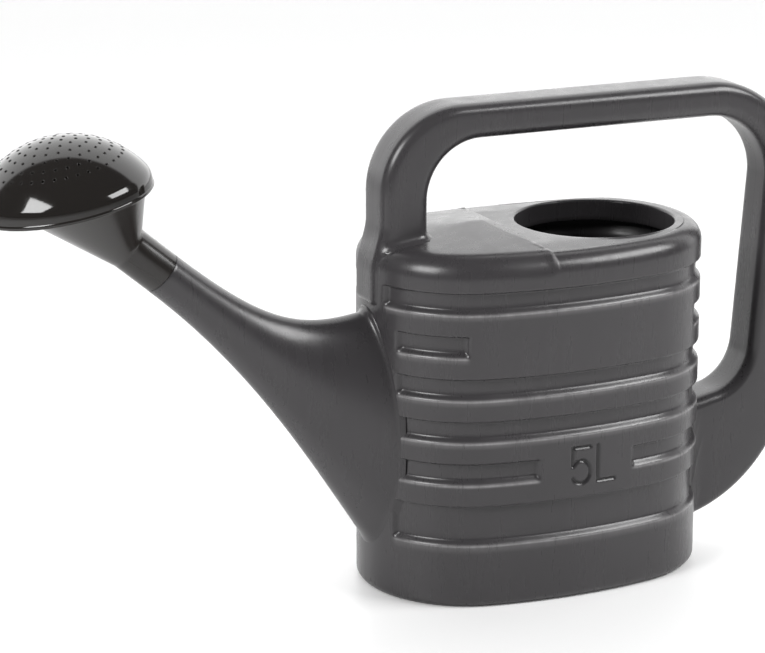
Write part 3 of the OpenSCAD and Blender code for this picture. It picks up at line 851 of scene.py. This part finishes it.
def turned(name, profile, material, steps):
    """A piece turned round its own axis from half of its section, closed at the axis."""
    edges = [(i, i + 1) for i in range(len(profile) - 1)]
    mesh = bpy.data.meshes.new(name)
    mesh.from_pydata([(r, 0, z) for r, z in profile], edges, [])
    piece = bpy.data.objects.new(name, mesh)
    scene.collection.objects.link(piece)
    take(piece)
    bpy.ops.object.mode_set(mode="EDIT")
    bpy.ops.mesh.select_all(action="SELECT")
    bpy.ops.mesh.spin(steps=steps, angle=2 * math.pi, center=(0, 0, 0), axis=(0, 0, 1))
    bpy.ops.mesh.select_all(action="SELECT")
    bpy.ops.mesh.remove_doubles(threshold=0.0005)
    bpy.ops.mesh.normals_make_consistent(inside=False)
    bpy.ops.object.mode_set(mode="OBJECT")
    piece.data.materials.append(material)
    return piece


def dome_profile(inset, steps):
    """The dome from its middle down to its skirt: a broad crown and a tighter edge."""
    height, edge, radius = FACE_HEIGHT - inset, FACE_EDGE - inset, FACE_RADIUS - inset
    crown = CROWN - inset
    lean = math.atan2(radius - edge, crown - height)
    points = [(crown * math.sin(a), SKIRT + height - crown + crown * math.cos(a))
              for a in np.linspace(0, lean, steps)]
    points += [(radius - edge + edge * math.sin(a), SKIRT + edge * math.cos(a))
               for a in np.linspace(lean, math.pi / 2, steps // 3)[1:]]
    return points


def hole_places():
    """Where the spray holes are on the dome: turn and lean, in rings round the middle one."""
    step = HOLE_PITCH / CROWN
    places = [(0.0, 0.0)]
    for ring in range(1, HOLE_RINGS):
        places += [(2 * math.pi * i / (6 * ring), ring * step) for i in range(6 * ring)]
    return places


def on_dome(turn, lean, radius):
    """Place at a radius from the middle of the crown's sphere, facing outwards."""
    centre = Matrix.Translation((0, 0, SKIRT + FACE_HEIGHT - CROWN))
    return (centre @ Matrix.Rotation(turn, 4, "Z") @ Matrix.Rotation(lean, 4, "Y")
            @ Matrix.Translation((0, 0, radius)))


def copies(pattern, name, places, material):
    """One mesh with a copy of pattern at each place. The pattern goes."""
    points = np.array([v.co for v in pattern.data.vertices])
    faces = [tuple(p.vertices) for p in pattern.data.polygons]
    all_points, all_faces = [], []
    for place in places:
        m = np.array(place)
        start = len(all_points) * len(points)
        all_points.append(points @ m[:3, :3].T + m[:3, 3])
        all_faces += [tuple(start + i for i in f) for f in faces]
    mesh = bpy.data.meshes.new(name)
    mesh.from_pydata(np.concatenate(all_points).tolist(), [], all_faces)
    mesh.update()
    piece = bpy.data.objects.new(name, mesh)
    scene.collection.objects.link(piece)
    mesh.materials.append(material)
    bpy.data.objects.remove(pattern)
    return piece


def make_face():
    """The rose's domed face with its skirt and spray holes, and the holes' raised rims."""
    outer = dome_profile(0.0, 48)
    rim = [(FACE_RADIUS, 3.0), (FACE_RADIUS, 1.9), (FACE_RADIUS + 0.25, 1.6),
           (FACE_RADIUS + 0.5, 1.1), (FACE_RADIUS + 0.5, 0.6), (FACE_RADIUS + 0.3, 0.15),
           (FACE_RADIUS, 0.0)]
    bore = FACE_RADIUS - ROSE_WALL
    inner = [(bore + 0.3, 0.0), (bore, 0.3), (bore, SKIRT)] + dome_profile(ROSE_WALL, 24)[::-1][1:]
    face = turned("rose_face_dome", outer + rim + inner, ROSE_PLASTIC, 128)
    clear_selection()
    bpy.ops.mesh.primitive_cylinder_add(vertices=14, radius=HOLE_RADIUS, depth=3 * ROSE_WALL)
    drill = copies(bpy.context.object, "drill",
                   [on_dome(t, a, CROWN - ROSE_WALL / 2) for t, a in hole_places()], ROSE_PLASTIC)
    cut = face.modifiers.new("holes", "BOOLEAN")
    cut.object, cut.operation, cut.solver = drill, "DIFFERENCE", "EXACT"
    take(face)
    bpy.ops.object.modifier_apply(modifier=cut.name)
    bpy.data.objects.remove(drill)
    take(face)
    bpy.ops.object.shade_smooth_by_angle(angle=FACE_SMOOTH)
    settle(face, AT_ROSE)
    clear_selection()
    bpy.ops.mesh.primitive_torus_add(major_segments=12, minor_segments=4,
                                     major_radius=HOLE_RIM_RADIUS,
                                     minor_radius=HOLE_RIM_THICKNESS)
    rims = copies(bpy.context.object, "rose_hole_rims",
                  [on_dome(t, a, CROWN - HOLE_RIM_THICKNESS / 5) for t, a in hole_places()],
                  ROSE_PLASTIC)
    rims.data.shade_smooth()
    settle(rims, AT_ROSE)
    return face, rims


def circle_at(place, radius, height, setback=0.0, count=72):
    """Row round a place's upright axis, or round one set beside it, at a height on it."""
    a = 2 * math.pi * np.arange(count) / count
    return np.array([place @ Vector((setback + radius * math.cos(b), radius * math.sin(b), height))
                     for b in a])


def make_rose_body():
    """The sleeve, the oblique cone, the rim and the inside of the rose in one closed skin."""
    fit = SPIGOT_RADIUS + RUNNING_GAP
    sleeve = ((fit, 0.0), (TIP_RADIUS - 0.3, 0.0), (TIP_RADIUS, 0.3), (TIP_RADIUS, 9.0),
              (TIP_RADIUS, 18.0), (TIP_RADIUS, SLEEVE_LENGTH - 3.4),
              (TIP_RADIUS + 0.05, SLEEVE_LENGTH - 2.4), (TIP_RADIUS + 0.3, SLEEVE_LENGTH - 1.6))
    rows = [circle_at(AT_MOUTH, radius, height) for radius, height in sleeve]
    start = rows[-1]
    wide = circle_at(AT_ROSE, CONE_RADIUS, -DISH, CONE_SETBACK)
    rows += [mix(start, wide, f) for f in np.linspace(0.06, 0.985, 16)]
    rim, inner = FACE_RADIUS - 0.15, FACE_RADIUS - ROSE_WALL - RUNNING_GAP
    edge = circle_at(AT_ROSE, rim - 0.3, -0.7)
    rows += [wide, mix(wide, edge, 0.04), mix(wide, edge, 0.5), edge]
    ledge = ((rim, -0.4), (rim, -RUNNING_GAP), (inner, -RUNNING_GAP), (inner, SKIRT),
             (inner - ROSE_WALL, SKIRT), (inner - ROSE_WALL, 1.3))
    rows += [circle_at(AT_ROSE, radius, height) for radius, height in ledge]
    throat, seat = SPIGOT_RADIUS - 1.5, SPIGOT_LENGTH + 0.2
    deep = circle_at(AT_ROSE, CONE_RADIUS - 1.5, ROSE_WALL - DISH, CONE_SETBACK)
    bore = circle_at(AT_MOUTH, throat, SLEEVE_LENGTH)
    rows += [deep, mix(deep, bore, 0.5), bore, circle_at(AT_MOUTH, throat, seat),
             circle_at(AT_MOUTH, fit, seat), circle_at(AT_MOUTH, fit, 0.0)]
    body = rows_to_piece("rose_cone", rows, SLEEVE_PLASTIC, False, False)
    take(body)
    bpy.ops.object.mode_set(mode="EDIT")
    bpy.ops.mesh.select_all(action="SELECT")
    bpy.ops.mesh.remove_doubles(threshold=0.000001)
    bpy.ops.object.mode_set(mode="OBJECT")
    bpy.ops.object.shade_smooth_by_angle(angle=BODY_SMOOTH)
    return body


tank = make_tank()
spout = make_spout()
grip = make_grip()
face, rims = make_face()
cone = make_rose_body()

# what each piece rides on, stands for and is finished as
for piece, body, cad, finish in ((tank, "can", "tank", "can_plastic"),
                                 (spout, "can", "spout", "can_plastic"),
                                 (grip, "can", "grip", "can_plastic"),
                                 (cone, "rose", "rose_body", "rose_plastic"),
                                 (face, "face", "rose_face", "rose_plastic")):
    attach(piece, body)
    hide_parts(cad)
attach(rims, "face")


# ---------- floor, light and camera, in metres and watts ----------

FLOOR_SIZE = 16.0
FLOOR_GLOW = 0.08
# each lamp's name, place, target, size and power
LAMPS = (("left", (-1.24, -0.42, 1.02), (-0.31, -0.04, 0.26), (0.62, 0.54), 15.5),
         ("right", (0.9, -0.72, 1.08), (-0.02, 0, 0.15), (0.8, 0.56), 17.0))
# direction of the backdrop, where it begins and is full, and the walls' and its brightness
BACKDROP_WAY = (0.37, 0.93, 0.0)
BACKDROP_EDGE = (0.36, 0.42)
WALL_LIGHT = 0.1
BACKDROP_LIGHT = 2.0
CAMERA_PLACE = (-0.77092, -1.53285, 0.62787)
CAMERA_TURN = (74.335, 0.0, -23.80)
CAMERA_LENS = 141.18


def floor():
    """Wide flat pale floor, a little brighter to the eye than the lamps alone make it."""
    material = bpy.data.materials.new("pale floor")
    material.use_nodes = True
    tree = material.node_tree
    shader = tree.nodes["Principled BSDF"]
    shader.inputs["Base Color"].default_value = (0.93, 0.93, 0.93, 1.0)
    shader.inputs["Roughness"].default_value = 0.4
    shader.inputs["Emission Color"].default_value = (1.0, 1.0, 1.0, 1.0)
    seen = tree.nodes.new("ShaderNodeLightPath")
    glow = node(tree, "ShaderNodeMath", operation="MULTIPLY")
    glow.inputs[1].default_value = FLOOR_GLOW
    tree.links.new(seen.outputs["Is Camera Ray"], glow.inputs[0])
    tree.links.new(glow.outputs[0], shader.inputs["Emission Strength"])
    clear_selection()
    bpy.ops.mesh.primitive_plane_add(size=FLOOR_SIZE, location=(0, 0, 0))
    made = bpy.context.object
    made.name = "floor"
    made.data.materials.append(material)


def softbox(name, place, target, size, power):
    """Rectangular lamp that faces its target."""
    lamp = bpy.data.lights.new(name, "AREA")
    lamp.shape = "RECTANGLE"
    lamp.size, lamp.size_y = size
    lamp.energy = power
    holder = bpy.data.objects.new(name, lamp)
    holder.location = place
    holder.rotation_euler = (Vector(target) - Vector(place)).to_track_quat("-Z", "Y").to_euler()
    scene.collection.objects.link(holder)


def studio_walls():
    """Dim studio with a broad bright backdrop behind the object."""
    world = bpy.data.worlds.new("studio")
    world.use_nodes = True
    tree = world.node_tree
    link = tree.links.new
    walls = tree.nodes["Background"]
    place = tree.nodes.new("ShaderNodeTexCoord")
    facing = node(tree, "ShaderNodeVectorMath", operation="DOT_PRODUCT")
    facing.inputs[1].default_value = BACKDROP_WAY
    light = map_range(tree, *BACKDROP_EDGE, WALL_LIGHT, BACKDROP_LIGHT,
                      interpolation_type="SMOOTHSTEP")
    seen = tree.nodes.new("ShaderNodeLightPath")
    strength = node(tree, "ShaderNodeMath", operation="MAXIMUM")
    link(place.outputs["Generated"], facing.inputs[0])
    link(facing.outputs["Value"], light.inputs["Value"])
    link(light.outputs["Result"], strength.inputs[0])
    link(seen.outputs["Is Camera Ray"], strength.inputs[1])
    link(strength.outputs[0], walls.inputs["Strength"])
    walls.inputs["Color"].default_value = (1, 1, 1, 1)
    return world


floor()
for lamp_facts in LAMPS:
    softbox(*lamp_facts)
scene.world = studio_walls()
scene.view_settings.view_transform = "Standard"

lens = bpy.data.cameras.new("camera")
lens.lens = CAMERA_LENS
lens.sensor_width = 36.0
lens.clip_end = 50.0
camera = bpy.data.objects.new("camera", lens)
camera.location = CAMERA_PLACE
camera.rotation_euler = tuple(math.radians(a) for a in CAMERA_TURN)
scene.collection.objects.link(camera)
scene.camera = camera
